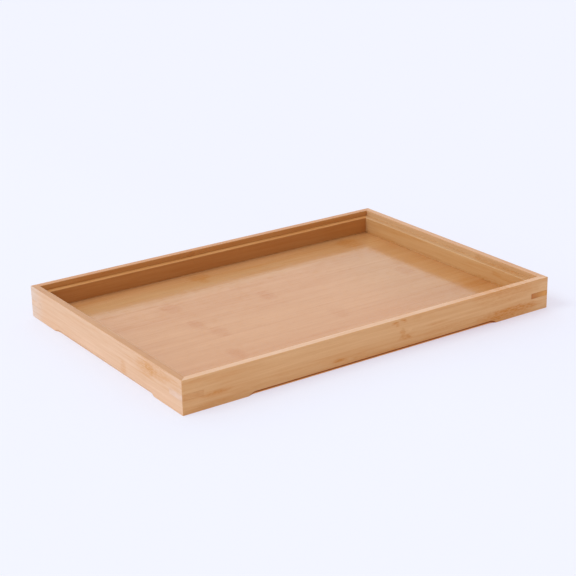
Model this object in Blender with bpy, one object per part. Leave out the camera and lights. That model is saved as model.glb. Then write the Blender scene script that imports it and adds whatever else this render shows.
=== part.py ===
"""Bamboo serving tray, modelled piece by piece.

Four mitred rails hold a floor panel in a groove. A flat key is let into a slot across each mitre.
Metres, +Z up. The origin is the middle of the tray's footprint, on the surface that it stands on.
The long rails run along X, and the front rail is the one at -Y.
"""
from math import cos, pi, sin, sqrt, tan

import bmesh
import bpy
from mathutils import Matrix, Vector

MM = 0.001

# Overall size
TRAY_LENGTH = 400 * MM
TRAY_WIDTH = 277 * MM
TRAY_HEIGHT = 30.8 * MM

# Rail section
RAIL_THICKNESS = 13.4 * MM
REBATE_WIDTH = 6.4 * MM
REBATE_DEPTH = 5.3 * MM
GROOVE_DEPTH = 6.4 * MM
ARRIS_RADIUS = 0.7 * MM
CORNER_RADIUS = 1.5 * MM

# Floor panel, and the air under it
FLOOR_THICKNESS = 5 * MM
FLOOR_RISE = 4.7 * MM

# Corner keys: a key's legs lie in the two outer faces of its corner
KEY_LEG = 20.5 * MM
KEY_THICKNESS = 5 * MM
KEY_RISE = 13 * MM

# Finger chamfer under each rail's outer bottom edge, stopped short of the corners.
# A bevelled bit on a round pilot leaves its curved ends.
CHAMFER_HEIGHT = 3.6 * MM
CHAMFER_DEPTH = 2.5 * MM
CHAMFER_PILOT_RADIUS = 12 * MM
LONG_RAIL_FOOT = 63 * MM
SHORT_RAIL_FOOT = 46.5 * MM

# Glue line between neighbouring pieces, and how far a cutter runs past what it cuts
JOINT_GAP = 0.3 * MM
OVERRUN = 2 * MM

# Points nearer than this are one point
WELD = 0.001 * MM

ARRIS_STEPS = 3
CORNER_STEPS_PER_RAIL = 2
CHAMFER_SEGMENTS = 48

TRAY_COLLECTION = "bamboo_serving_tray"
CUTTER_COLLECTION = "cutters"

# Name, linear colour and roughness of each finish
FACE_GRAIN = ("bamboo_face_grain", (0.60, 0.36, 0.19, 1.0), 0.42)
SIDE_GRAIN = ("bamboo_side_grain", (0.66, 0.42, 0.24, 1.0), 0.42)
BOARD_GRAIN = ("bamboo_board", (0.64, 0.39, 0.22, 1.0), 0.40)
END_GRAIN = ("bamboo_end_grain", (0.40, 0.20, 0.08, 1.0), 0.55)


def clear_scene():
    """Start from an empty scene."""
    for thing in list(bpy.data.objects):
        bpy.data.objects.remove(thing, do_unlink=True)


def new_collection(name):
    """A fresh collection in the scene."""
    group = bpy.data.collections.new(name)
    bpy.context.scene.collection.children.link(group)
    return group


def finish(name, colour, roughness):
    """A lacquered wood finish."""
    material = bpy.data.materials.new(name)
    material.use_nodes = True
    shader = material.node_tree.nodes["Principled BSDF"]
    shader.inputs["Base Color"].default_value = colour
    shader.inputs["Roughness"].default_value = roughness
    shader.inputs["Metallic"].default_value = 0.0
    material.diffuse_color = colour
    return material


def rounded(corners, steps):
    """An outline whose corners, each given as (point, radius), are turned into arcs of the given steps."""
    outline = []
    for index, (point, radius) in enumerate(corners):
        corner = Vector(point)
        if not radius:
            outline.append(corner)
            continue
        to_last = (Vector(corners[index - 1][0]) - corner).normalized()
        to_next = (Vector(corners[(index + 1) % len(corners)][0]) - corner).normalized()
        half_angle = to_last.angle(to_next) / 2
        setback = radius / tan(half_angle)
        start = corner + to_last * setback
        end = corner + to_next * setback
        centre = corner + (to_last + to_next).normalized() * radius / sin(half_angle)
        for step in range(steps + 1):
            spoke = (start - centre).lerp(end - centre, step / steps)
            outline.append(centre + spoke.normalized() * radius)
    return outline


def prism(name, outline, thickness):
    """A mesh of a flat outline in XY, with its thickness centred on z = 0."""
    curve = bpy.data.curves.new(name, "CURVE")
    curve.dimensions = "2D"
    curve.fill_mode = "BOTH"
    curve.extrude = thickness / 2
    spline = curve.splines.new("POLY")
    spline.points.add(len(outline) - 1)
    for point, (x, y) in zip(spline.points, outline):
        point.co = (x, y, 0, 1)
    spline.use_cyclic_u = True
    drawing = bpy.data.objects.new(name, curve)
    bpy.context.scene.collection.objects.link(drawing)
    evaluated = drawing.evaluated_get(bpy.context.evaluated_depsgraph_get())
    mesh = bpy.data.meshes.new_from_object(evaluated)
    bpy.data.objects.remove(drawing, do_unlink=True)
    bpy.data.curves.remove(curve)
    shape = bmesh.new()
    shape.from_mesh(mesh)
    bmesh.ops.remove_doubles(shape, verts=shape.verts, dist=WELD)
    bmesh.ops.recalc_face_normals(shape, faces=shape.faces)
    shape.to_mesh(mesh)
    shape.free()
    return mesh


def saw(shape, point, outward):
    """Cut off what lies beyond a plane, and close the cut."""
    everything = shape.verts[:] + shape.edges[:] + shape.faces[:]
    sawn = bmesh.ops.bisect_plane(
        shape, geom=everything, dist=WELD, plane_co=point, plane_no=outward, clear_outer=True
    )
    rim = [piece for piece in sawn["geom_cut"] if isinstance(piece, bmesh.types.BMEdge)]
    bmesh.ops.contextual_create(shape, geom=rim)


def place(name, mesh, group, location, turn):
    """An object that stands at a location, turned about Z."""
    thing = bpy.data.objects.new(name, mesh)
    thing.location = location
    thing.rotation_euler = (0, 0, turn)
    group.objects.link(thing)
    return thing


def as_cutter(thing):
    """Mark an object as a cutter."""
    thing.hide_render = True
    thing.display_type = "WIRE"
    return thing


def cut(thing, cutter):
    """Take a cutter's shape out of an object."""
    boolean = thing.modifiers.new("cut_" + cutter.name, "BOOLEAN")
    boolean.operation = "DIFFERENCE"
    boolean.solver = "EXACT"
    boolean.object = cutter


def rail_section():
    """The rail's outline: x runs inwards from the outer face, y upwards."""
    rim_width = RAIL_THICKNESS - REBATE_WIDTH
    ledge_height = TRAY_HEIGHT - REBATE_DEPTH
    groove_back = RAIL_THICKNESS - GROOVE_DEPTH
    groove_floor = FLOOR_RISE - JOINT_GAP
    groove_roof = FLOOR_RISE + FLOOR_THICKNESS + JOINT_GAP
    corners = [
        ((0, 0), ARRIS_RADIUS),
        ((RAIL_THICKNESS, 0), ARRIS_RADIUS),
        ((RAIL_THICKNESS, groove_floor), 0),
        ((groove_back, groove_floor), 0),
        ((groove_back, groove_roof), 0),
        ((RAIL_THICKNESS, groove_roof), 0),
        ((RAIL_THICKNESS, ledge_height), ARRIS_RADIUS),
        ((rim_width, ledge_height), 0),
        ((rim_width, TRAY_HEIGHT), ARRIS_RADIUS),
        ((0, TRAY_HEIGHT), ARRIS_RADIUS),
    ]
    return rounded(corners, ARRIS_STEPS)


def rail_mesh(name, length):
    """A rail along X, its outer face on y = 0 and its foot on z = 0, mitred and rounded at both ends."""
    mesh = prism(name, rail_section(), length + 2 * OVERRUN)
    # The outline's x, y and thickness become the rail's y, z and x
    mesh.transform(Matrix(((0, 0, 1, 0), (1, 0, 0, 0), (0, 1, 0, 0), (0, 0, 0, 1))))
    shape = bmesh.new()
    shape.from_mesh(mesh)
    for end in (-1, 1):
        tip = Vector((end * length / 2, 0, 0))
        # The mitre face stands back from the corner's diagonal by half a glue line
        mitre_normal = Vector((end, 1, 0)).normalized()
        saw(shape, tip - mitre_normal * JOINT_GAP / 2, mitre_normal)
        # The rail's half of the rounded corner, one flat facet at a time
        centre = tip + Vector((-end * CORNER_RADIUS, CORNER_RADIUS, 0))
        step = pi / 4 / CORNER_STEPS_PER_RAIL
        for facet in range(CORNER_STEPS_PER_RAIL):
            angle = (facet + 0.5) * step
            facet_normal = Vector((end * sin(angle), -cos(angle), 0))
            saw(shape, centre + facet_normal * CORNER_RADIUS * cos(step / 2), facet_normal)
    bmesh.ops.recalc_face_normals(shape, faces=shape.faces)
    shape.to_mesh(mesh)
    shape.free()
    return mesh


def chamfer_sweep_mesh(name, rail_length, foot_length):
    """The space that the bevelled bit sweeps along the outer bottom edge of a rail on y = 0."""
    low_radius = CHAMFER_PILOT_RADIUS + CHAMFER_DEPTH
    runout = sqrt(low_radius ** 2 - CHAMFER_PILOT_RADIUS ** 2)
    travel = rail_length / 2 - foot_length - runout
    flare = OVERRUN * CHAMFER_DEPTH / CHAMFER_HEIGHT
    shape = bmesh.new()
    for end in (-1, 1):
        centre = Vector((end * travel, -CHAMFER_PILOT_RADIUS, CHAMFER_HEIGHT / 2))
        bmesh.ops.create_cone(
            shape, cap_ends=True, segments=CHAMFER_SEGMENTS, radius1=low_radius + flare,
            radius2=CHAMFER_PILOT_RADIUS - flare, depth=CHAMFER_HEIGHT + 2 * OVERRUN,
            matrix=Matrix.Translation(centre)
        )
    bmesh.ops.delete(shape, geom=shape.edges[:] + shape.faces[:], context="EDGES_FACES")
    hull = bmesh.ops.convex_hull(shape, input=shape.verts)
    inside = [piece for piece in hull["geom_interior"] if isinstance(piece, bmesh.types.BMVert)]
    bmesh.ops.delete(shape, geom=inside, context="VERTS")
    bmesh.ops.recalc_face_normals(shape, faces=shape.faces)
    mesh = bpy.data.meshes.new(name)
    shape.to_mesh(mesh)
    shape.free()
    return mesh


def key_mesh(name):
    """A corner key: its two legs lie along x = 0 and y = 0, in the outer faces of the corner."""
    corners = [((0, 0), CORNER_RADIUS), ((KEY_LEG, 0), 0), ((0, KEY_LEG), 0)]
    return prism(name, rounded(corners, 2 * CORNER_STEPS_PER_RAIL), KEY_THICKNESS)


def key_slot_mesh(name):
    """The slot for a corner key, a glue line larger than the key and open past both outer faces."""
    reach = KEY_LEG + JOINT_GAP * sqrt(2) + OVERRUN
    corners = [(-OVERRUN, -OVERRUN), (reach, -OVERRUN), (-OVERRUN, reach)]
    return prism(name, corners, KEY_THICKNESS + 2 * JOINT_GAP)


def floor_panel(group, material):
    """The board that sits in the four grooves."""
    inset = 2 * (RAIL_THICKNESS - GROOVE_DEPTH + JOINT_GAP)
    size = (TRAY_LENGTH - inset, TRAY_WIDTH - inset, FLOOR_THICKNESS)
    shape = bmesh.new()
    bmesh.ops.create_cube(shape, size=1.0, matrix=Matrix.Diagonal((*size, 1)))
    mesh = bpy.data.meshes.new("floor_panel")
    shape.to_mesh(mesh)
    shape.free()
    mesh.materials.append(material)
    place("floor_panel", mesh, group, (0, 0, FLOOR_RISE + FLOOR_THICKNESS / 2), 0)


def build_tray():
    """Model every piece and put it in its place."""
    clear_scene()
    tray = new_collection(TRAY_COLLECTION)
    cutters = new_collection(CUTTER_COLLECTION)
    face_grain = finish(*FACE_GRAIN)
    side_grain = finish(*SIDE_GRAIN)
    end_grain = finish(*END_GRAIN)
    half_length = TRAY_LENGTH / 2
    half_width = TRAY_WIDTH / 2

    # Corner keys and their slots. A quarter turn takes each corner to the next one.
    key_height = KEY_RISE + KEY_THICKNESS / 2
    key = key_mesh("corner_key")
    key.materials.append(end_grain)
    slot = key_slot_mesh("key_slot")
    corner_places = [
        ("front_left", (-half_length, -half_width, key_height)),
        ("front_right", (half_length, -half_width, key_height)),
        ("back_right", (half_length, half_width, key_height)),
        ("back_left", (-half_length, half_width, key_height)),
    ]
    slots = {}
    for quarter, (corner, location) in enumerate(corner_places):
        turn = quarter * pi / 2
        place(corner + "_key", key, tray, location, turn)
        slots[corner] = as_cutter(place(corner + "_key_slot", slot, cutters, location, turn))

    # Rails, going round the same way: each one's place and the corners at its two ends
    long_rail = (TRAY_LENGTH, LONG_RAIL_FOOT, face_grain)
    short_rail = (TRAY_WIDTH, SHORT_RAIL_FOOT, side_grain)
    rails = [
        ("front_rail", long_rail, (0, -half_width, 0), ("front_left", "front_right")),
        ("right_rail", short_rail, (half_length, 0, 0), ("front_right", "back_right")),
        ("back_rail", long_rail, (0, half_width, 0), ("back_right", "back_left")),
        ("left_rail", short_rail, (-half_length, 0, 0), ("back_left", "front_left")),
    ]
    for quarter, (name, (length, foot, material), location, corners) in enumerate(rails):
        turn = quarter * pi / 2
        mesh = rail_mesh(name, length)
        mesh.materials.append(material)
        rail = place(name, mesh, tray, location, turn)
        sweep = chamfer_sweep_mesh(name + "_chamfer", length, foot)
        cut(rail, as_cutter(place(name + "_chamfer", sweep, cutters, location, turn)))
        for corner in corners:
            cut(rail, slots[corner])

    floor_panel(tray, finish(*BOARD_GRAIN))


build_tray()
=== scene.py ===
"""Looks of the bamboo serving tray: rails, corner keys and floor board in lacquered bamboo."""
from math import radians, sqrt

import bmesh
import bpy
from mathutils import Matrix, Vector


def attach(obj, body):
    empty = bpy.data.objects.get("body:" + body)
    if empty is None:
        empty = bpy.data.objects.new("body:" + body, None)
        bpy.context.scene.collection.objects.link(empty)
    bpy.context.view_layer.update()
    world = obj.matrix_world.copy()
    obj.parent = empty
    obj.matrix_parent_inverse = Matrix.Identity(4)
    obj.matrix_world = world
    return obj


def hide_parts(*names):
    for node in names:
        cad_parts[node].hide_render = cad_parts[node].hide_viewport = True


MM = 0.001


def rgb(red, green, blue):
    """A linear colour."""
    return (red, green, blue, 1.0)


# The tray, as in the CAD
TRAY_LENGTH = 400 * MM
TRAY_WIDTH = 277 * MM
TRAY_HEIGHT = 30.8 * MM
RAIL_THICKNESS = 13.4 * MM
OUTER_PLY = 7 * MM
REBATE_DEPTH = 5.3 * MM
GROOVE_DEPTH = 6.4 * MM
FLOOR_THICKNESS = 5 * MM
FLOOR_RISE = 4.7 * MM
KEY_LEG = 20.5 * MM
KEY_THICKNESS = 5 * MM
KEY_RISE = 13 * MM
CHAMFER_HEIGHT = 3.6 * MM
CHAMFER_DEPTH = 2.5 * MM
PILOT_RADIUS = 12 * MM
LONG_RAIL_FOOT = 63 * MM
SHORT_RAIL_FOOT = 46.5 * MM

# Finer than the CAD: sanded edges and tight joints
ARRIS_RADIUS = 0.6 * MM
LEDGE_ARRIS_RADIUS = 0.5 * MM
JOINT_GAP = 0.1 * MM
OVERRUN = 4 * MM
BEVEL_SEGMENTS = 4
CHAMFER_SEGMENTS = 96
SMOOTH_ANGLE = radians(28)
FLAT_FACE_WEIGHT = 100

# How far apart two lengths that count as the same may be, and how upright a level face's normal is
TOLERANCE = 0.02 * MM
LEVEL = 0.9

HALF_LENGTH = TRAY_LENGTH / 2
HALF_WIDTH = TRAY_WIDTH / 2
LEDGE_HEIGHT = TRAY_HEIGHT - REBATE_DEPTH
GROOVE_FLOOR = FLOOR_RISE - JOINT_GAP
GROOVE_ROOF = FLOOR_RISE + FLOOR_THICKNESS + JOINT_GAP

# Where the sides and corners are, as seen from the middle of the tray
SIDES = {"front": (0, -1), "right": (1, 0), "back": (0, 1), "left": (-1, 0)}
CORNERS = {
    "front_left": (-1, -1),
    "front_right": (1, -1),
    "back_right": (1, 1),
    "back_left": (-1, 1),
}

# Camera: its place in metres, its turn in degrees, its lens and sensor in millimetres, its range
CAMERA_PLACE = (-0.73315, -1.074339, 0.505729)
CAMERA_TURN = (69.6751, 1.0538, -34.6566)
CAMERA_LENS = 92.095
SENSOR_WIDTH = 36
CLIP_START = 0.05
CLIP_END = 60

# Light: the direction and strength of each wide panel, the lamp, and what comes from all round
PANELS = [
    ((-1, 0, 0), 0.3),
    ((0, 1, 0), 0.2),
    ((0.56, 0.8, 0.2), 0.45),
]
LAMP_DIRECTION = (-0.66, 0.19, 0.73)
LAMP_STRENGTH = 0.86
LAMP_SPREAD = radians(24)
FILL_COLOUR = rgb(0.97, 0.98, 1.0)
FILL_STRENGTH = 0.66

# Studio: the backdrop, the floor that light bounces off, and the floor that the camera sees, with
# its own glow. That one changes along X, over a stretch from under the tray to its right end.
BACKDROP_COLOUR = rgb(0.94, 0.95, 1.0)
STUDIO_SIZE = 24
STUDIO_COLOUR = rgb(0.93, 0.94, 0.97)
LEFT_STUDIO_COLOUR, LEFT_STUDIO_GLOW = rgb(0.31, 0.38, 0.40), rgb(0.600, 0.547, 0.63)
RIGHT_STUDIO_COLOUR, RIGHT_STUDIO_GLOW = rgb(0.42, 0.52, 0.55), rgb(0.485, 0.400, 0.476)
STUDIO_CHANGE = (-20 * MM, 150 * MM)

# Lacquer: how rough it is, how much smoother on pale grain, and how the grain stands up under it
RAIL_ROUGHNESS = 0.3
BOARD_ROUGHNESS = 0.12
KEY_ROUGHNESS = 0.35
CHAMFER_EXTRA_ROUGHNESS = 0.6
PALE_GRAIN_ROUGHNESS = -0.06
RELIEF_STRENGTH = 0.25
RELIEF_HEIGHT = 0.12 * MM
RELIEF_OF_TONE = 0.6

# How dark and light parts of the bamboo differ from its base colour
WHITE = rgb(1, 1, 1)
DARK_TINT = rgb(0.82, 0.52, 0.08)
LIGHT_TINT = rgb(1.20, 1.36, 1.62)

# Noise: its detail and its roughness
SOFT = (1.0, 0.5)
PLAIN = (2.0, 0.5)
CRISP = (3.0, 0.6)

# Grain: how often it changes per metre, along the fibres and across them, and how much it shows
WANDER_SCALE = (7, 20)
WANDER_ACROSS = 1.6 * MM
WANDER_DEEP = 1.2 * MM
BAND_SCALE = (5, 90)
STREAK_SCALE = (14, 420)
FIBRE_SCALE = (90, 2300)
FIBRE_EDGE = (0.56, 0.72)
BAND_SHARE = 0.8
RAIL_STREAK_SHARE = 1.2
BOARD_STREAK_SHARE = 0.85
FIBRE_SHARE = 0.12
SHORT_STREAK_SCALE = (45, 1000)
SHORT_STREAK_SHARE = 0.35

# Marks: how ragged their outlines are, how patchy they are, and how softly they end
RAGGED_SCALE = (160, 420)
RAGGED_ALONG = 7 * MM
RAGGED_ACROSS_SHARE = 0.25
PATCH_SCALE = (240, 700)
PATCH_SEED = 3
PATCH_EDGE = (0.3, 0.7)
PATCH_RANGE = (0.45, 1.35)
MARK_END = 1.3

# A rail's strips and plies, and the shift between their grains, in metres along the rail
STRIP_HEIGHT = 15 * MM
PLY_EDGE = 0.15 * MM
PLY_SHIFT = 0.37
STRIP_SHIFT = 0.83
LOW, HIGH, OUT, IN = range(4)
GLUE_WIDTH = 0.25 * MM
GLUE_DEPTH = 0.3 * MM
GLUE_SHARE = 0.12

# Where a rail's colours change, as depths in from its outer face and heights above the table. A
# chamfer's colour goes from painted shade at its top to painted light, bounced up from the table,
# at its foot, and that painted light runs along the bottom edge of the feet too
FACE_TO_RIM = (0.2 * MM, ARRIS_RADIUS)
FACE_TO_CHAMFER = (0.15 * MM, 0.4 * MM)
CHAMFER_TOP_TO_FOOT = (1.25 * MM, 1.8 * MM)
CHAMFER_START = 0.15 * MM
LOW_EDGE = (0.1 * MM, 0.8 * MM)
LOW_EDGE_START = 0.03 * MM

# The left rail: its short streaks thin out along it, and its back end has a painted highlight, a
# pale wash over its outer face towards the back corner
FINE_STREAK_END = (-90 * MM, 40 * MM)
PAINTED_HIGHLIGHT_SPAN = (108 * MM, 140 * MM)
PAINTED_HIGHLIGHT_DEPTH = (0.2 * MM, 1.2 * MM)
PAINTED_HIGHLIGHT_SHARE = 0.7
PAINTED_HIGHLIGHT_COLOUR = rgb(0.74, 0.59, 0.52)

# The floor board's strips, and how its colour changes towards its right end, darker with painted
# shade, and before its back edge, lighter with painted light
BOARD_STRIP = 25.6 * MM
BOARD_STRIP_OFFSET = 2.4 * MM
BOARD_SEED = 17
BOARD_SHIFT = 3.1
BOARD_STRIP_SHARE = 0.12
SEAM_WIDTH = 0.35 * MM
SEAM_SHARE = 0.1
RIGHT_SHADE_SPAN = (42 * MM, 150 * MM)
BACK_LIGHT_SPAN = (60 * MM, 88 * MM)
BACK_LIGHT_FADE = (98 * MM, 114 * MM)
BACK_LIGHT_FADE_SHARE = 0.6
BACK_LIGHT_LOSS_AT_RIGHT = 0.6

# A key's end grain, per metre along its grain, across it and upwards
KEY_BAND_SCALE = (60, 160, 300)
KEY_FIBRE_SCALE = (700, 1500, 1900)
KEY_FIBRE_EDGE = (0.55, 0.7)
KEY_BAND_SHARE = 0.9
KEY_FIBRE_SHARE = 0.2
KEY_TIP_SHARE = -0.5


def deselect_all():
    """Leave edit mode and select nothing."""
    if bpy.context.object and bpy.context.object.mode != "OBJECT":
        bpy.ops.object.mode_set(mode="OBJECT")
    bpy.ops.object.select_all(action="DESELECT")


def take(piece):
    """Make a piece the only one selected, and the active one."""
    deselect_all()
    piece.select_set(True)
    bpy.context.view_layer.objects.active = piece


def block(name, low, high):
    """A cuboid between two corners, its place in its mesh."""
    deselect_all()
    low, high = Vector(low), Vector(high)
    bpy.ops.mesh.primitive_cube_add(size=1, location=(low + high) / 2, scale=high - low)
    piece = bpy.context.object
    piece.name = name
    bpy.ops.object.transform_apply()
    return piece


def edit(piece):
    """Start to edit a piece, with nothing on it selected."""
    take(piece)
    bpy.ops.object.mode_set(mode="EDIT")
    bpy.ops.mesh.select_mode(type="FACE")
    bpy.ops.mesh.select_all(action="DESELECT")


def select_faces(piece, test):
    """Select the faces of the edited piece whose middle and normal pass a test, and no others."""
    bpy.ops.mesh.select_mode(type="FACE")
    bpy.ops.mesh.select_all(action="DESELECT")
    shape = bmesh.from_edit_mesh(piece.data)
    for face in shape.faces:
        face.select_set(test(face.calc_center_median(), face.normal))
    bmesh.update_edit_mesh(piece.data)


def select_edges(piece, test):
    """Select the edges of the edited piece whose two ends pass a test, and no others."""
    bpy.ops.mesh.select_mode(type="EDGE")
    bpy.ops.mesh.select_all(action="DESELECT")
    shape = bmesh.from_edit_mesh(piece.data)
    for edge in shape.edges:
        edge.select_set(test(edge.verts[0].co, edge.verts[1].co))
    bmesh.update_edit_mesh(piece.data)


def near(value, wanted):
    """Whether two lengths are the same within the tolerance."""
    return abs(value - wanted) < TOLERANCE


def saw(piece, point, outward):
    """Cut off what lies beyond a plane, and close the cut."""
    edit(piece)
    bpy.ops.mesh.select_all(action="SELECT")
    bpy.ops.mesh.bisect(plane_co=point, plane_no=outward, use_fill=True, clear_outer=True)
    bpy.ops.object.mode_set(mode="OBJECT")


def copy_of(piece, name):
    """A copy of a piece with its own mesh."""
    take(piece)
    bpy.ops.object.duplicate()
    made = bpy.context.object
    made.name = name
    return made


def cut(piece, cutter):
    """Take a cutter's shape out of a piece, and throw the cutter away."""
    take(piece)
    boolean = piece.modifiers.new("cut", "BOOLEAN")
    boolean.operation = "DIFFERENCE"
    boolean.solver = "EXACT"
    boolean.object = cutter
    bpy.ops.object.modifier_apply(modifier=boolean.name)
    bpy.data.objects.remove(cutter, do_unlink=True)


def smooth(piece):
    """Shade the rounded edges smoothly and keep the flat faces flat."""
    take(piece)
    bpy.ops.object.shade_smooth_by_angle(angle=SMOOTH_ANGLE)
    weighted = piece.modifiers.new("flat_faces", "WEIGHTED_NORMAL")
    weighted.keep_sharp = True
    weighted.weight = FLAT_FACE_WEIGHT
    bpy.ops.object.modifier_apply(modifier=weighted.name)


def widen_pit(length, width, new_length, new_width):
    """Step the selected face at the bottom of a pit out or in, from one size to another."""
    bpy.ops.mesh.extrude_region_move(TRANSFORM_OT_translate={"value": (0, 0, 0)})
    bpy.ops.transform.resize(
        value=(new_length / length, new_width / width, 1), center_override=(0, 0, 0)
    )


def deepen_pit(depth):
    """Push the selected face down."""
    bpy.ops.mesh.extrude_region_move(TRANSFORM_OT_translate={"value": (0, 0, -depth)})


def round_edges(piece, radius, test):
    """Round the edges that pass a test."""
    select_edges(piece, test)
    bpy.ops.mesh.bevel(offset=radius, offset_type="OFFSET", segments=BEVEL_SEGMENTS, affect="EDGES")


def chamfer_cutter(rail_length, foot_length, out, along):
    """The space that a bevelled bit on a round pilot sweeps along a rail's outer bottom edge."""
    low_radius = PILOT_RADIUS + CHAMFER_DEPTH
    runout = sqrt(low_radius ** 2 - PILOT_RADIUS ** 2)
    travel = rail_length / 2 - foot_length - runout
    flare = OVERRUN * CHAMFER_DEPTH / CHAMFER_HEIGHT
    deselect_all()
    cones = []
    for end in (-1, 1):
        centre = out + out.normalized() * PILOT_RADIUS + along * end * travel
        middle = centre + Vector((0, 0, CHAMFER_HEIGHT / 2))
        bpy.ops.mesh.primitive_cone_add(
            vertices=CHAMFER_SEGMENTS, radius1=low_radius + flare, radius2=PILOT_RADIUS - flare,
            depth=CHAMFER_HEIGHT + 2 * OVERRUN, location=middle
        )
        cones.append(bpy.context.object)
    for cone in cones:
        cone.select_set(True)
    bpy.ops.object.join()
    sweep = bpy.context.object
    bpy.ops.object.transform_apply()
    edit(sweep)
    bpy.ops.mesh.select_all(action="SELECT")
    bpy.ops.mesh.convex_hull()
    bpy.ops.mesh.select_all(action="SELECT")
    bpy.ops.mesh.normals_make_consistent(inside=False)
    bpy.ops.object.mode_set(mode="OBJECT")
    return sweep


def hollow_out(ring):
    """Sink the ledge, the floor's groove and the hole below it into a block."""
    inner_length = TRAY_LENGTH - 2 * RAIL_THICKNESS
    inner_width = TRAY_WIDTH - 2 * RAIL_THICKNESS
    groove_length = inner_length + 2 * GROOVE_DEPTH
    groove_width = inner_width + 2 * GROOVE_DEPTH
    edit(ring)
    select_faces(ring, lambda middle, normal: normal.z > LEVEL)
    bpy.ops.mesh.inset(thickness=OUTER_PLY)
    deepen_pit(REBATE_DEPTH)
    bpy.ops.mesh.inset(thickness=RAIL_THICKNESS - OUTER_PLY)
    deepen_pit(LEDGE_HEIGHT - GROOVE_ROOF)
    widen_pit(inner_length, inner_width, groove_length, groove_width)
    deepen_pit(GROOVE_ROOF - GROOVE_FLOOR)
    widen_pit(groove_length, groove_width, inner_length, inner_width)
    select_faces(ring, lambda middle, normal: normal.z < -LEVEL and near(middle.z, 0))
    bpy.ops.mesh.inset(thickness=RAIL_THICKNESS)
    select_faces(ring, is_hole_end)
    bpy.ops.mesh.bridge_edge_loops()
    bpy.ops.mesh.select_all(action="SELECT")
    bpy.ops.mesh.normals_make_consistent(inside=False)


def is_hole_end(middle, normal):
    """Whether a face is the bottom of the pit or the face right below it."""
    centred = middle.xy.length < TOLERANCE
    return centred and abs(normal.z) > LEVEL and middle.z < GROOVE_FLOOR + TOLERANCE


def is_outer_edge(first, second):
    """Whether an edge is an upright outer edge or on the top or bottom outline."""
    shared_side = any(
        near(abs(first[axis]), half) and near(first[axis], second[axis])
        for axis, half in enumerate((HALF_LENGTH, HALF_WIDTH))
    )
    square = sum(abs(first[axis] - second[axis]) > TOLERANCE for axis in range(3)) == 1
    return shared_side and square


def is_on_loop(point, height, inset):
    """Whether a point is at a height and on the outline a distance in from the tray's."""
    clear = min(HALF_LENGTH - inset - abs(point.x), HALF_WIDTH - inset - abs(point.y))
    return near(point.z, height) and near(clear, 0)


def loop_at(height, inset):
    """A test for the edges of an inner outline at a height."""
    def is_loop_edge(first, second):
        level = near(first.z, second.z)
        square = near(first.x, second.x) or near(first.y, second.y)
        on_loop = is_on_loop(first, height, inset) and is_on_loop(second, height, inset)
        return level and square and on_loop

    return is_loop_edge


def frame_ring():
    """All four rails as one ring, with sanded edges and finger chamfers."""
    ring = block("ring", (-HALF_LENGTH, -HALF_WIDTH, 0), (HALF_LENGTH, HALF_WIDTH, TRAY_HEIGHT))
    hollow_out(ring)
    round_edges(ring, ARRIS_RADIUS, is_outer_edge)
    round_edges(ring, ARRIS_RADIUS, loop_at(TRAY_HEIGHT, OUTER_PLY))
    round_edges(ring, LEDGE_ARRIS_RADIUS, loop_at(LEDGE_HEIGHT, RAIL_THICKNESS))
    round_edges(ring, LEDGE_ARRIS_RADIUS, loop_at(0, RAIL_THICKNESS))
    bpy.ops.object.mode_set(mode="OBJECT")
    for side in (-1, 1):
        front, end = Vector((0, side * HALF_WIDTH, 0)), Vector((side * HALF_LENGTH, 0, 0))
        cut(ring, chamfer_cutter(TRAY_LENGTH, LONG_RAIL_FOOT, front, Vector((1, 0, 0))))
        cut(ring, chamfer_cutter(TRAY_WIDTH, SHORT_RAIL_FOOT, end, Vector((0, 1, 0))))
    return ring


def is_upright(first, second):
    """Whether an edge of a block runs from its bottom to its top."""
    return abs(first.z - second.z) > TRAY_HEIGHT / 2


def key_block(name, corner, growth):
    """A corner key, sawn from a block with rounded edges, or its slot's cutter when grown."""
    reach = Vector((HALF_LENGTH, HALF_WIDTH, 0))
    out = OVERRUN if growth else 0
    low, high = -reach, reach + Vector((0, 0, TRAY_HEIGHT))
    key = block(name, low - Vector((out, out, 0)), high + Vector((out, out, 0)))
    if not growth:
        edit(key)
        round_edges(key, ARRIS_RADIUS, is_upright)
        bpy.ops.object.mode_set(mode="OBJECT")
    corner_point = Vector((corner[0] * HALF_LENGTH, corner[1] * HALF_WIDTH, 0))
    inward = Vector((-corner[0], -corner[1], 0)).normalized()
    saw(key, corner_point + inward * (KEY_LEG / sqrt(2) + growth), inward)
    saw(key, Vector((0, 0, KEY_RISE - growth)), Vector((0, 0, -1)))
    saw(key, Vector((0, 0, KEY_RISE + KEY_THICKNESS + growth)), Vector((0, 0, 1)))
    return key


def rail_from(ring, name, side):
    """One rail, sawn out of the ring at its two mitres. Its side is the direction that it faces."""
    rail = copy_of(ring, name)
    out = Vector((*side, 0))
    across = Vector((-out.y, out.x, 0))
    for end in (-1, 1):
        tip = Vector((
            (out.x + across.x * end) * HALF_LENGTH, (out.y + across.y * end) * HALF_WIDTH, 0
        ))
        mitre_normal = (across * end - out).normalized()
        saw(rail, tip - mitre_normal * JOINT_GAP / 2, mitre_normal)
    return rail


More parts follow.
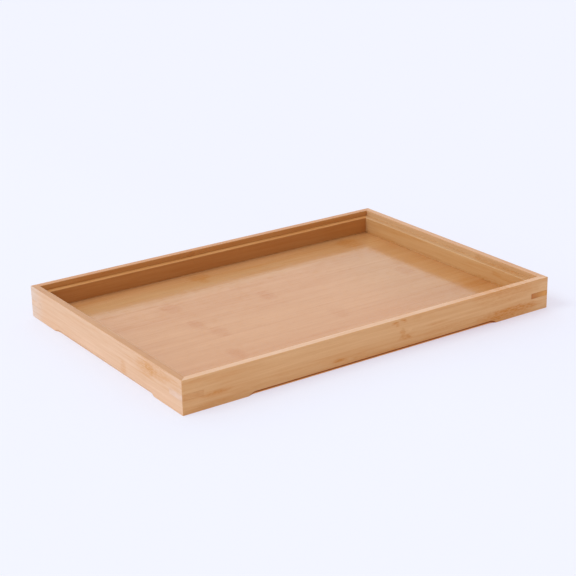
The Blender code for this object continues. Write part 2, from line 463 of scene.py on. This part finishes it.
class Wire:
    """A value in a material. Arithmetic and comparisons add Math nodes."""

    def __init__(self, recipe, socket):
        self.recipe = recipe
        self.socket = socket

    def maths(self, operation, *values):
        return self.recipe.node("ShaderNodeMath", {"operation": operation}, dict(enumerate(values)))

    def __add__(self, other):
        return self.maths("ADD", self, other)

    def __sub__(self, other):
        return self.maths("SUBTRACT", self, other)

    def __rsub__(self, other):
        return self.maths("SUBTRACT", other, self)

    def __mul__(self, other):
        return self.maths("MULTIPLY", self, other)

    def __truediv__(self, other):
        return self.maths("DIVIDE", self, other)

    def __abs__(self):
        return self.maths("ABSOLUTE", self)

    def __gt__(self, other):
        return self.maths("GREATER_THAN", self, other)

    def __lt__(self, other):
        return self.maths("LESS_THAN", self, other)

    __radd__ = __add__
    __rmul__ = __mul__

    def floor(self):
        return self.maths("FLOOR", self)

    def equals(self, number):
        return self.maths("COMPARE", self, number, 0.5)

    def step(self, low, high, start=0.0, end=1.0):
        """A smooth step from start to end as the value goes from low to high."""
        return self.recipe.node(
            "ShaderNodeMapRange", {"interpolation_type": "SMOOTHSTEP"},
            {"Value": self, "From Min": low, "From Max": high, "To Min": start, "To Max": end}
        )

    def ramp(self, low, high):
        """A straight ramp from 0 to 1 as the value goes from low to high."""
        inputs = {"Value": self, "From Min": low, "From Max": high}
        return self.recipe.node("ShaderNodeMapRange", {}, inputs)


class Recipe:
    """The nodes of a material or of the world."""

    def __init__(self, owner):
        owner.use_nodes = True
        self.owner = owner
        self.tree = owner.node_tree

    def fill(self, node, inputs):
        """Link or set a node's inputs."""
        for key, value in inputs.items():
            if isinstance(value, Wire):
                self.tree.links.new(value.socket, node.inputs[key])
            else:
                node.inputs[key].default_value = value

    def node(self, kind, settings, inputs, output=0):
        """Add a node with its settings and inputs, and give one of its outputs."""
        made = self.tree.nodes.new(kind)
        for key, value in settings.items():
            setattr(made, key, value)
        self.fill(made, inputs)
        return Wire(self, made.outputs[output])

    def finish(self, **inputs):
        """Fill in the material's shader, and give the material."""
        shader = self.tree.nodes["Principled BSDF"]
        self.fill(shader, {key.replace("_", " "): value for key, value in inputs.items()})
        return self.owner

    def surface(self, output, shader):
        """Make a shader the surface."""
        self.tree.links.new(shader.socket, self.tree.nodes[output].inputs["Surface"])

    def place(self):
        """The three coordinates of the shaded point, in metres."""
        point = self.node("ShaderNodeTexCoord", {}, {}, "Object")
        split = self.tree.nodes.new("ShaderNodeSeparateXYZ")
        self.fill(split, {0: point})
        return [Wire(self, split.outputs[axis]) for axis in range(3)]

    def vector(self, x, y, z):
        return self.node("ShaderNodeCombineXYZ", {}, {0: x, 1: y, 2: z})

    def noise(self, x, y, z, kind=PLAIN):
        """Noise from 0 to 1, soft, plain or crisp."""
        inputs = {"Vector": self.vector(x, y, z), "Scale": 1.0}
        inputs["Detail"], inputs["Roughness"] = kind
        return self.node("ShaderNodeTexNoise", {}, inputs)

    def fibres(self, scale, along, across, deep, kind=PLAIN):
        """Noise drawn out along the fibres, by its scales along and across them."""
        lengthwise, crosswise = scale
        return self.noise(along * lengthwise, across * crosswise, deep * crosswise, kind)

    def end_grain(self, scale, along, across, up):
        """Noise with a scale of its own in each direction."""
        return self.noise(along * scale[0], across * scale[1], up * scale[2])

    def random(self, number):
        """A random number that depends on a whole number."""
        return self.node("ShaderNodeTexWhiteNoise", {"noise_dimensions": "1D"}, {"W": number})

    def blend(self, factor, first, second, how="MIX"):
        """Blend two colours."""
        settings = {"data_type": "RGBA", "blend_type": how}
        return self.node("ShaderNodeMix", settings, {0: factor, 6: first, 7: second}, 2)

    def mix(self, factor, first, second):
        """Mix two shaders."""
        return self.node("ShaderNodeMixShader", {}, {0: factor, 1: first, 2: second})

    def glowing(self, colour, glow):
        """A matt shader with a little light of its own."""
        matt = self.node("ShaderNodeBsdfDiffuse", {}, {"Color": colour})
        light = self.node("ShaderNodeEmission", {}, {"Color": glow})
        return self.node("ShaderNodeAddShader", {}, {0: matt, 1: light})

    def camera_ray(self):
        """1 where the camera looks, 0 where light bounces."""
        return self.node("ShaderNodeLightPath", {}, {}, "Is Camera Ray")


def grain_of(recipe, along, across, deep):
    """Bamboo's grain: broad bands and finer streaks, about 0, and fibre bundles, from 0 to 1."""
    wander = recipe.fibres(WANDER_SCALE, along, across, deep, SOFT) - 0.5
    across = across + wander * WANDER_ACROSS
    deep = deep + wander * WANDER_DEEP
    band = recipe.fibres(BAND_SCALE, along, across, deep) - 0.5
    streak = recipe.fibres(STREAK_SCALE, along, across, deep, CRISP) - 0.5
    bundles = recipe.fibres(FIBRE_SCALE, along, across, deep).step(*FIBRE_EDGE)
    return band, streak, bundles


def marks_on(recipe, along, level, marks, allowed):
    """The sum of the listed marks: each a soft oval at a place along and a level.

    A mark is (along, level, half length, half height, strength, group), its lengths in
    millimetres. It shows where its group is allowed.
    """
    ragged_along, ragged_across = RAGGED_SCALE
    ragged = recipe.noise(along * ragged_along, level * ragged_across, 0) - 0.5
    ragged = ragged * RAGGED_ALONG
    patch_along, patch_across = PATCH_SCALE
    patchy = recipe.noise(along * patch_along, level * patch_across, PATCH_SEED, CRISP)
    patchy = patchy.step(*PATCH_EDGE, *PATCH_RANGE)
    along = (along + ragged) / MM
    level = (level + ragged * RAGGED_ACROSS_SHARE) / MM
    total = 0.0
    for place, height, half_along, half_level, strength, group in marks:
        u = (along - place) / half_along
        v = (level - height) / half_level
        oval = (u * u + v * v).step(0.0, MARK_END, strength, 0.0)
        total = oval * allowed(group) + total
    return patchy * total


def bamboo_finish(recipe, base, tone, bundles, gloss):
    """Colour, gloss and grain relief: the base colour, made darker or lighter by the tone."""
    tint = recipe.blend(tone.ramp(-1, 0), DARK_TINT, WHITE)
    tint = recipe.blend(tone.ramp(0, 1), tint, LIGHT_TINT)
    colour = recipe.blend(1.0, base, tint, "MULTIPLY")
    height = tone * RELIEF_OF_TONE - bundles
    grain = recipe.node(
        "ShaderNodeBump", {},
        {"Strength": RELIEF_STRENGTH, "Distance": RELIEF_HEIGHT, "Height": height}
    )
    roughness = tone * PALE_GRAIN_ROUGHNESS + gloss
    return recipe.finish(Base_Color=colour, Roughness=roughness, Normal=grain)


def rail_tone(recipe, along, across, z, depth, marks, seed, fine):
    """How dark or light a rail is, its fibre bundles, and where its inner ply is.

    Two plies are glued back to back, and the outer one is two strips high. A mark is on the outer
    ply's lower strip (LOW), its upper strip (HIGH), both (OUT) or on the inner ply (IN).
    """
    inner = depth > OUTER_PLY + PLY_EDGE
    upper = z > STRIP_HEIGHT
    outer = 1 - inner
    groups = {LOW: outer * (1 - upper), HIGH: outer * upper, OUT: outer, IN: inner}
    shifted = along + inner * PLY_SHIFT + groups[HIGH] * STRIP_SHIFT + seed
    band, streak, bundles = grain_of(recipe, shifted, across, z)
    tone = band * BAND_SHARE + streak * RAIL_STREAK_SHARE - bundles * FIBRE_SHARE
    tone = tone + marks_on(recipe, along, z, marks, lambda group: groups[group])
    glue = abs(z - STRIP_HEIGHT).step(0, GLUE_WIDTH, 1.0, 0.0) * (depth < GLUE_DEPTH)
    tone = tone - glue * GLUE_SHARE
    streaks_along, streaks_up = SHORT_STREAK_SCALE
    short_streaks = recipe.noise(along * streaks_along, z * streaks_up, seed, SOFT) - 0.5
    extra = groups[HIGH] * along.step(*FINE_STREAK_END, fine, 0.0)
    tone = tone + short_streaks * (extra + SHORT_STREAK_SHARE)
    return tone, bundles, inner


def rail_finish(name, lengthwise, colours, marks, seed, fine=0.0, painted_highlight_end=False):
    """A rail's bamboo, with a colour for each of its faces, which carry painted light and shade as
    well as the rail's own tone.
    """
    recipe = Recipe(bpy.data.materials.new(name))
    x, y, z = recipe.place()
    along, across, half = (x, y, HALF_WIDTH) if lengthwise else (y, x, HALF_LENGTH)
    depth = half - abs(across)
    tone, bundles, inner = rail_tone(recipe, along, across, z, depth, marks, seed, fine)
    outer = 1 - inner

    base = recipe.blend(depth.step(*FACE_TO_RIM), colours["face"], colours["rim"])
    over_ledge = z > LEDGE_HEIGHT + LEDGE_ARRIS_RADIUS / 2
    wall = recipe.blend(over_ledge, colours["wall"], colours["high_wall"])
    base = recipe.blend(depth.step(OUTER_PLY - ARRIS_RADIUS / 2, OUTER_PLY), base, wall)
    ledge = depth.step(RAIL_THICKNESS - LEDGE_ARRIS_RADIUS, RAIL_THICKNESS, 1.0, 0.0) * inner
    ledge = ledge * (z > LEDGE_HEIGHT - LEDGE_ARRIS_RADIUS)
    base = recipe.blend(ledge, base, colours["ledge"])

    # The chamfer's colours: painted shade at its top, painted light bounced up from the table at
    # its foot.
    under = depth.step(*FACE_TO_CHAMFER) * (z < CHAMFER_HEIGHT) * (z > CHAMFER_START) * outer
    top_to_foot = depth.step(*CHAMFER_TOP_TO_FOOT)
    chamfer = recipe.blend(top_to_foot, colours["chamfer_top"], colours["chamfer_foot"])
    base = recipe.blend(under, base, chamfer)
    # The feet's bottom edge takes the chamfer's foot colour, a line of painted light bounced up
    # from the table.
    low_edge_painted_light = z.step(*LOW_EDGE, 1.0, 0.0) * (z > LOW_EDGE_START) * outer * (1 - under)
    base = recipe.blend(low_edge_painted_light, base, colours["chamfer_foot"])

    # A painted highlight: a pale wash over the outer face towards one end.
    if painted_highlight_end:
        pale = along.step(*PAINTED_HIGHLIGHT_SPAN) * depth.step(*PAINTED_HIGHLIGHT_DEPTH, PAINTED_HIGHLIGHT_SHARE, 0.0)
        base = recipe.blend(pale, base, PAINTED_HIGHLIGHT_COLOUR)
    rough = under.maths("MAXIMUM", under, low_edge_painted_light) * CHAMFER_EXTRA_ROUGHNESS + RAIL_ROUGHNESS
    return bamboo_finish(recipe, base, tone, bundles, rough)


def board_finish(name, colour, right_painted_shade, back_painted_light, marks):
    """The floor board's bamboo: strips glued edge to edge, each with its own tone and nodes.

    Its colour is a little darker towards its right end, painted shade, and lighter in a band before
    its back edge, painted light, which fades partly at the edge itself.
    """
    recipe = Recipe(bpy.data.materials.new(name))
    x, y, z = recipe.place()
    count = (y - BOARD_STRIP_OFFSET) / BOARD_STRIP + 0.5
    strip = count.floor()
    chance = recipe.random(strip + BOARD_SEED)
    band, streak, bundles = grain_of(recipe, x + chance * BOARD_SHIFT, y, z)
    tone = band * BAND_SHARE + streak * BOARD_STREAK_SHARE - bundles * FIBRE_SHARE
    tone = tone + (chance - 0.5) * BOARD_STRIP_SHARE

    def on_strip(row):
        """Where a mark's strip is, or everywhere for a mark with none."""
        return 1.0 if row is None else strip.equals(row)

    tone = tone + marks_on(recipe, x, y, marks, on_strip)
    from_middle = abs(count - strip - 0.5) * BOARD_STRIP
    tone = tone - from_middle.step(BOARD_STRIP / 2 - SEAM_WIDTH, BOARD_STRIP / 2) * SEAM_SHARE

    # Painted shade towards the right end, and painted light before the back edge, weaker near the
    # right end.
    right = x.step(*RIGHT_SHADE_SPAN)
    back = y.step(*BACK_LIGHT_SPAN) - y.step(*BACK_LIGHT_FADE, 0.0, BACK_LIGHT_FADE_SHARE)
    base = recipe.blend(right, colour, right_painted_shade)
    base = recipe.blend(back * (1 - right * BACK_LIGHT_LOSS_AT_RIGHT), base, back_painted_light)
    return bamboo_finish(recipe, base, tone, bundles, BOARD_ROUGHNESS)


def key_finish(name, corner, long_side, short_side, fade=0.0):
    """A key's bamboo: its grain runs across the corner, so its faces show slanting end grain.

    It has a colour for its face on the long rail and one for that on the short rail. On the long
    rail it can fade, from dark at its tip to pale at the corner.
    """
    recipe = Recipe(bpy.data.materials.new(name))
    x, y, z = recipe.place()
    turn = -corner[0] * corner[1]
    along = (x + y * turn) * sqrt(0.5)
    across = (x - y * turn) * sqrt(0.5)
    band = recipe.end_grain(KEY_BAND_SCALE, along, across, z) - 0.5
    bundles = recipe.end_grain(KEY_FIBRE_SCALE, along, across, z).step(*KEY_FIBRE_EDGE)
    tone = band * KEY_BAND_SHARE - bundles * KEY_FIBRE_SHARE
    from_end = HALF_LENGTH - abs(x)
    on_long_side = (HALF_WIDTH - abs(y)) < from_end
    tone = tone + from_end.step(0, KEY_LEG, fade, fade * KEY_TIP_SHARE) * on_long_side
    colour = recipe.blend(on_long_side, short_side, long_side)
    return bamboo_finish(recipe, colour, tone, bundles, KEY_ROUGHNESS)


def dress(piece, material, node):
    """Give a piece its finish and its place in the frame."""
    piece.data.materials.clear()
    piece.data.materials.append(material)
    smooth(piece)
    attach(piece, "root")
    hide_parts(node)


def build_rails():
    """The four rails, slotted for their keys and sawn out of one ring."""
    ring = frame_ring()
    for corner in CORNERS.values():
        cut(ring, key_block("slot", corner, JOINT_GAP))
    for side, direction in SIDES.items():
        long_rail = direction[0] == 0
        finish = rail_finish("bamboo_" + side + "_rail", long_rail, **RAIL_LOOKS[side])
        dress(rail_from(ring, "rail_" + side, direction), finish, side + "_rail")
    bpy.data.objects.remove(ring, do_unlink=True)


def build_keys():
    """The four corner keys."""
    for name, corner in CORNERS.items():
        finish = key_finish("key_" + name, corner, **KEY_LOOKS[name])
        dress(key_block("key_" + name, corner, 0), finish, name + "_key")


def build_board():
    """The floor board, in the rails' grooves."""
    edge = RAIL_THICKNESS - GROOVE_DEPTH + JOINT_GAP
    board = block(
        "floor_board", (edge - HALF_LENGTH, edge - HALF_WIDTH, FLOOR_RISE),
        (HALF_LENGTH - edge, HALF_WIDTH - edge, FLOOR_RISE + FLOOR_THICKNESS)
    )
    edit(board)
    round_edges(board, LEDGE_ARRIS_RADIUS, lambda first, second: True)
    bpy.ops.object.mode_set(mode="OBJECT")
    finish = board_finish("bamboo_floor_board", *BOARD_COLOURS, BOARD_MARKS)
    dress(board, finish, "floor_panel")


def set_camera():
    """The camera at the photograph's place."""
    data = bpy.data.cameras.new("camera")
    data.lens = CAMERA_LENS
    data.sensor_width = SENSOR_WIDTH
    data.clip_start = CLIP_START
    data.clip_end = CLIP_END
    camera = bpy.data.objects.new("camera", data)
    camera.location = CAMERA_PLACE
    camera.rotation_euler = [radians(angle) for angle in CAMERA_TURN]
    bpy.context.scene.collection.objects.link(camera)
    bpy.context.scene.camera = camera


def set_light():
    """Soft light from all round and from three wide panels, a large lamp, and a pale backdrop."""
    data = bpy.data.lights.new("lamp", "SUN")
    data.energy = LAMP_STRENGTH
    data.angle = LAMP_SPREAD
    lamp = bpy.data.objects.new("lamp", data)
    lamp.rotation_euler = Vector(LAMP_DIRECTION).to_track_quat("Z", "Y").to_euler()
    bpy.context.scene.collection.objects.link(lamp)
    world = bpy.data.worlds.new("studio")
    bpy.context.scene.world = world
    recipe = Recipe(world)
    direction = recipe.node("ShaderNodeTexCoord", {}, {}, "Generated")
    strength = 0.0
    for towards, power in PANELS:
        inputs = {0: direction, 1: towards}
        facing = recipe.node(
            "ShaderNodeVectorMath", {"operation": "DOT_PRODUCT"}, inputs, "Value"
        )
        strength = facing.ramp(0, 1) * facing * power + strength
    strength = strength + FILL_STRENGTH
    fill = recipe.node("ShaderNodeBackground", {}, {"Color": FILL_COLOUR, "Strength": strength})
    shown = recipe.node("ShaderNodeBackground", {}, {"Color": BACKDROP_COLOUR})
    recipe.surface("World Output", recipe.mix(recipe.camera_ray(), fill, shown))


def set_floor():
    """A plain pale floor. The camera sees it evened out, with the tray's shadow on it."""
    deselect_all()
    bpy.ops.mesh.primitive_plane_add(size=STUDIO_SIZE)
    floor = bpy.context.object
    floor.name = "studio_floor"
    recipe = Recipe(bpy.data.materials.new("studio_floor"))
    x = recipe.place()[0]
    bounce = recipe.node("ShaderNodeBsdfDiffuse", {}, {"Color": STUDIO_COLOUR})
    left = recipe.glowing(LEFT_STUDIO_COLOUR, LEFT_STUDIO_GLOW)
    right = recipe.glowing(RIGHT_STUDIO_COLOUR, RIGHT_STUDIO_GLOW)
    seen = recipe.mix(x.step(*STUDIO_CHANGE), left, right)
    recipe.surface("Material Output", recipe.mix(recipe.camera_ray(), bounce, seen))
    floor.data.materials.append(recipe.owner)


# Each rail's colours and marks, and where its grain starts. Its inner wall is the part below the
# ledge and its high wall the part above it. The colours, one per face, are lit and shaded copies
# that carry painted light and shade besides each rail's own tone: the left rail's outer face is
# lighter with painted light, the back rail's walls and rim are darker with painted shade, the back
# ledge is lighter with painted light, and the front and back chamfers are dark at the top with
# painted shade and pale at the foot with painted light bounced up from the table.
RAIL_LOOKS = {
    "front": {
        "colours": {
            "face": rgb(0.745, 0.392, 0.166),
            "rim": rgb(0.773, 0.458, 0.26),
            "ledge": rgb(0.69, 0.36, 0.15),
            "wall": rgb(0.62, 0.33, 0.14),
            "high_wall": rgb(0.62, 0.33, 0.14),
            "chamfer_top": rgb(0.40, 0.09, 0.003),
            "chamfer_foot": rgb(0.96, 0.50, 0.16),
        },
        # The widest marks are painted light and shade: lighter towards the left end, darker towards
        # the right end and along the bottom.
        "marks": [
            (-187, 28.5, 14, 0.9, -0.25, HIGH),
            (-180, 23, 16, 1.4, 0.20, HIGH),
            (-188, 15.5, 3.5, 1, -0.50, OUT),
            (-168, 12.5, 16, 3, -0.46, LOW),
            (-138, 7.5, 20, 1.3, -0.22, LOW),
            (-155, 18, 12, 0.9, -0.12, HIGH),
            (-168, 3.5, 30, 2, -0.18, LOW),
            (-70, 26.5, 66, 2.6, 0.12, HIGH),
            (-70, 20.5, 66, 0.8, 0.12, HIGH),
            (-44, 8.5, 7, 1.6, -0.60, LOW),
            (-30, 8, 34, 2.2, -0.24, LOW),
            (-32, 7, 4, 1.5, 0.25, LOW),
            (17, 28, 3.5, 1.7, -0.60, HIGH),
            (26, 29, 3.5, 1.4, -0.60, HIGH),
            (20, 25.5, 2.6, 2.2, -0.40, HIGH),
            (27.5, 27.5, 2.2, 1.4, -0.40, HIGH),
            (25.5, 17.5, 3, 4.5, -0.50, OUT),
            (29.5, 12, 9, 2.6, -0.50, LOW),
            (33, 12, 3.5, 1.4, -0.30, LOW),
            (34, 18, 3, 1.6, 0.30, HIGH),
            (41.5, 27, 5, 4, -0.12, HIGH),
            (120, 28.5, 80, 0.9, -0.15, HIGH),
            (142, 28.5, 36, 0.9, -0.15, HIGH),
            (65, 17, 18, 1.6, -0.30, HIGH),
            (129, 18, 54, 1.3, -0.12, HIGH),
            (158, 9.3, 26, 2.2, -0.40, LOW),
            (95, 10, 62, 2, -0.15, LOW),
            (120, 5, 66, 3.2, -0.12, LOW),
            (148, 24, 44, 8, -0.32, HIGH),
            (148, 6, 42, 8, -0.56, LOW),
            (-98, 8, 50, 7, 0.12, LOW),
            (185, 8, 16, 3, -0.35, LOW),
            (-10, 4, 90, 3, -0.15, LOW),
            (150, 30.8, 70, 1.4, -0.30, HIGH),
            (195, 23, 7, 4, 0.30, HIGH),
            (190, 8, 9, 7, 0.25, LOW),
            (78, 8, 44, 7, -0.15, LOW),
        ],
        "seed": 0.0,
    },
    "right": {
        "colours": {
            "face": rgb(0.72, 0.40, 0.18),
            "rim": rgb(0.635, 0.298, 0.112),
            "ledge": rgb(0.62, 0.36, 0.174),
            "wall": rgb(0.648, 0.374, 0.158),
            "high_wall": rgb(0.65, 0.397, 0.20),
            "chamfer_top": rgb(0.72, 0.40, 0.18),
            "chamfer_foot": rgb(0.76, 0.44, 0.22),
        },
        "marks": [
            # These three darken the inner wall towards the front corner, partly a streak in the
            # bamboo and partly painted shade in the corner.
            (-75, 11.5, 32, 3, -0.25, IN),
            (-82, 20, 8, 2.4, -0.35, IN),
            (-96, 17.5, 11, 0.8, -0.25, IN),
            # Painted shade along the foot of the inner wall, where it meets the floor board.
            (0, 9.7, 190, 4, -0.35, IN),
            (-85, 25.5, 40, 0.8, -0.30, IN),
            (-85, 28, 40, 4, -0.20, HIGH),
            (35, 7, 5, 12, -0.30, LOW),
            (-48, 23, 5, 12, -0.30, HIGH),
        ],
        "seed": 1.3,
    },
    "back": {
        "colours": {
            "face": rgb(0.725, 0.387, 0.168),
            "rim": rgb(0.60, 0.24, 0.055),
            "ledge": rgb(0.69, 0.34, 0.116),
            "wall": rgb(0.525, 0.205, 0.051),
            "high_wall": rgb(0.577, 0.246, 0.070),
            "chamfer_top": rgb(0.40, 0.09, 0.003),
            "chamfer_foot": rgb(0.96, 0.50, 0.16),
        },
        "marks": [
            (70, 7, 5, 12, -0.30, LOW),
            (-28, 23, 5, 12, -0.30, HIGH),
            (140, 25.5, 90, 0.8, -0.25, IN),
        ],
        "seed": 2.9,
    },
    "left": {
        "colours": {
            "face": rgb(0.762, 0.473, 0.294),
            "rim": rgb(0.568, 0.255, 0.077),
            "ledge": rgb(0.66, 0.36, 0.15),
            "wall": rgb(0.62, 0.35, 0.15),
            "high_wall": rgb(0.62, 0.35, 0.15),
            "chamfer_top": rgb(0.78, 0.49, 0.30),
            "chamfer_foot": rgb(0.82, 0.52, 0.33),
        },
        "marks": [
            (-40.5, 8, 6, 8, -0.35, LOW),
            (-80, 22.5, 19, 9, -0.42, HIGH),
            (-98, 24, 24, 7, -0.38, HIGH),
            # Painted light: this wide mark lightens the whole lower strip of the outer face.
            (0, 7, 260, 7, 0.10, LOW),
            (-128, 25, 18, 4, -0.20, HIGH),
        ],
        "seed": 4.1,
        "fine": 0.6,
        "painted_highlight_end": True,
    },
}

# Each key's colours, on its long rail and on its short rail. They carry painted light as the rails'
# faces do: on the left rail the keys' faces are lighter.
KEY_LOOKS = {
    "front_left": {
        "long_side": rgb(0.70, 0.34, 0.13),
        "short_side": rgb(0.78, 0.535, 0.407),
    },
    "front_right": {
        "long_side": rgb(0.59, 0.22, 0.036),
        "short_side": rgb(0.60, 0.26, 0.08),
        "fade": 1.2,
    },
    "back_right": {
        "long_side": rgb(0.60, 0.26, 0.08),
        "short_side": rgb(0.60, 0.26, 0.08),
    },
    "back_left": {
        "long_side": rgb(0.66, 0.34, 0.15),
        "short_side": rgb(0.77, 0.52, 0.37),
    },
}

# The floor board's colours, at its middle, at its right end, darker with painted shade, and before
# its back edge, lighter with painted light
BOARD_COLOURS = [
    rgb(0.633, 0.297, 0.115),
    rgb(0.57, 0.274, 0.098),
    rgb(0.645, 0.35, 0.152),
]

# The floor board's marks, each with the strip that it is on, or None where it crosses strips. The
# three widest dark ones, towards the front rail and its right corner, are painted shade.
BOARD_MARKS = [
    (176, -65, 16, 26, -0.20, None),
    (112, -85, 80, 44, -0.24, None),
    (0, -85, 80, 40, -0.13, None),
    (-33, 112, 13, 12, -0.35, 4),
    (-33, 97, 6, 9, -0.25, 4),
    (149, 105, 14, 18, -0.40, 4),
    (-98, 53.6, 10, 18, -0.36, 2),
    (-7, 28, 8, 18, -0.38, 1),
    (-100, 2.4, 7, 18, -0.36, 0),
    (142, 2.4, 9, 18, -0.36, 0),
    (-92, -23.2, 9, 18, -0.36, -1),
    (22, -48.8, 10, 18, -0.26, -2),
    (-107, -74.4, 8, 18, -0.36, -3),
    (-25, 38, 38, 1.2, -0.15, None),
    (-42, 20, 14, 1.2, -0.15, None),
    (10, -25, 55, 1.2, -0.12, None),
    (-126, 53.5, 13, 10, 0.15, None),
    (-126, 3.5, 16, 13, 0.15, None),
    (-51, 5, 26, 4, 0.15, None),
    (-38, -17, 36, 8, 0.12, None),
    (-124, -22, 8, 8, 0.12, None),
    (-124, -45, 8, 6, 0.12, None),
]

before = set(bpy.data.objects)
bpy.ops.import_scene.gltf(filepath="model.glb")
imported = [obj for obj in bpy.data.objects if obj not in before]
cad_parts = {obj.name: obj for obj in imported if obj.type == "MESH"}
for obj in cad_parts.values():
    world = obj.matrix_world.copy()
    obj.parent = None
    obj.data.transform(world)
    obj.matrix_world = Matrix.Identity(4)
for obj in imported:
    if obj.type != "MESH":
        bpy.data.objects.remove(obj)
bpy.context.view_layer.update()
bpy.context.scene.view_settings.view_transform = "Standard"

build_rails()
build_keys()
build_board()
set_floor()
set_light()
set_camera()
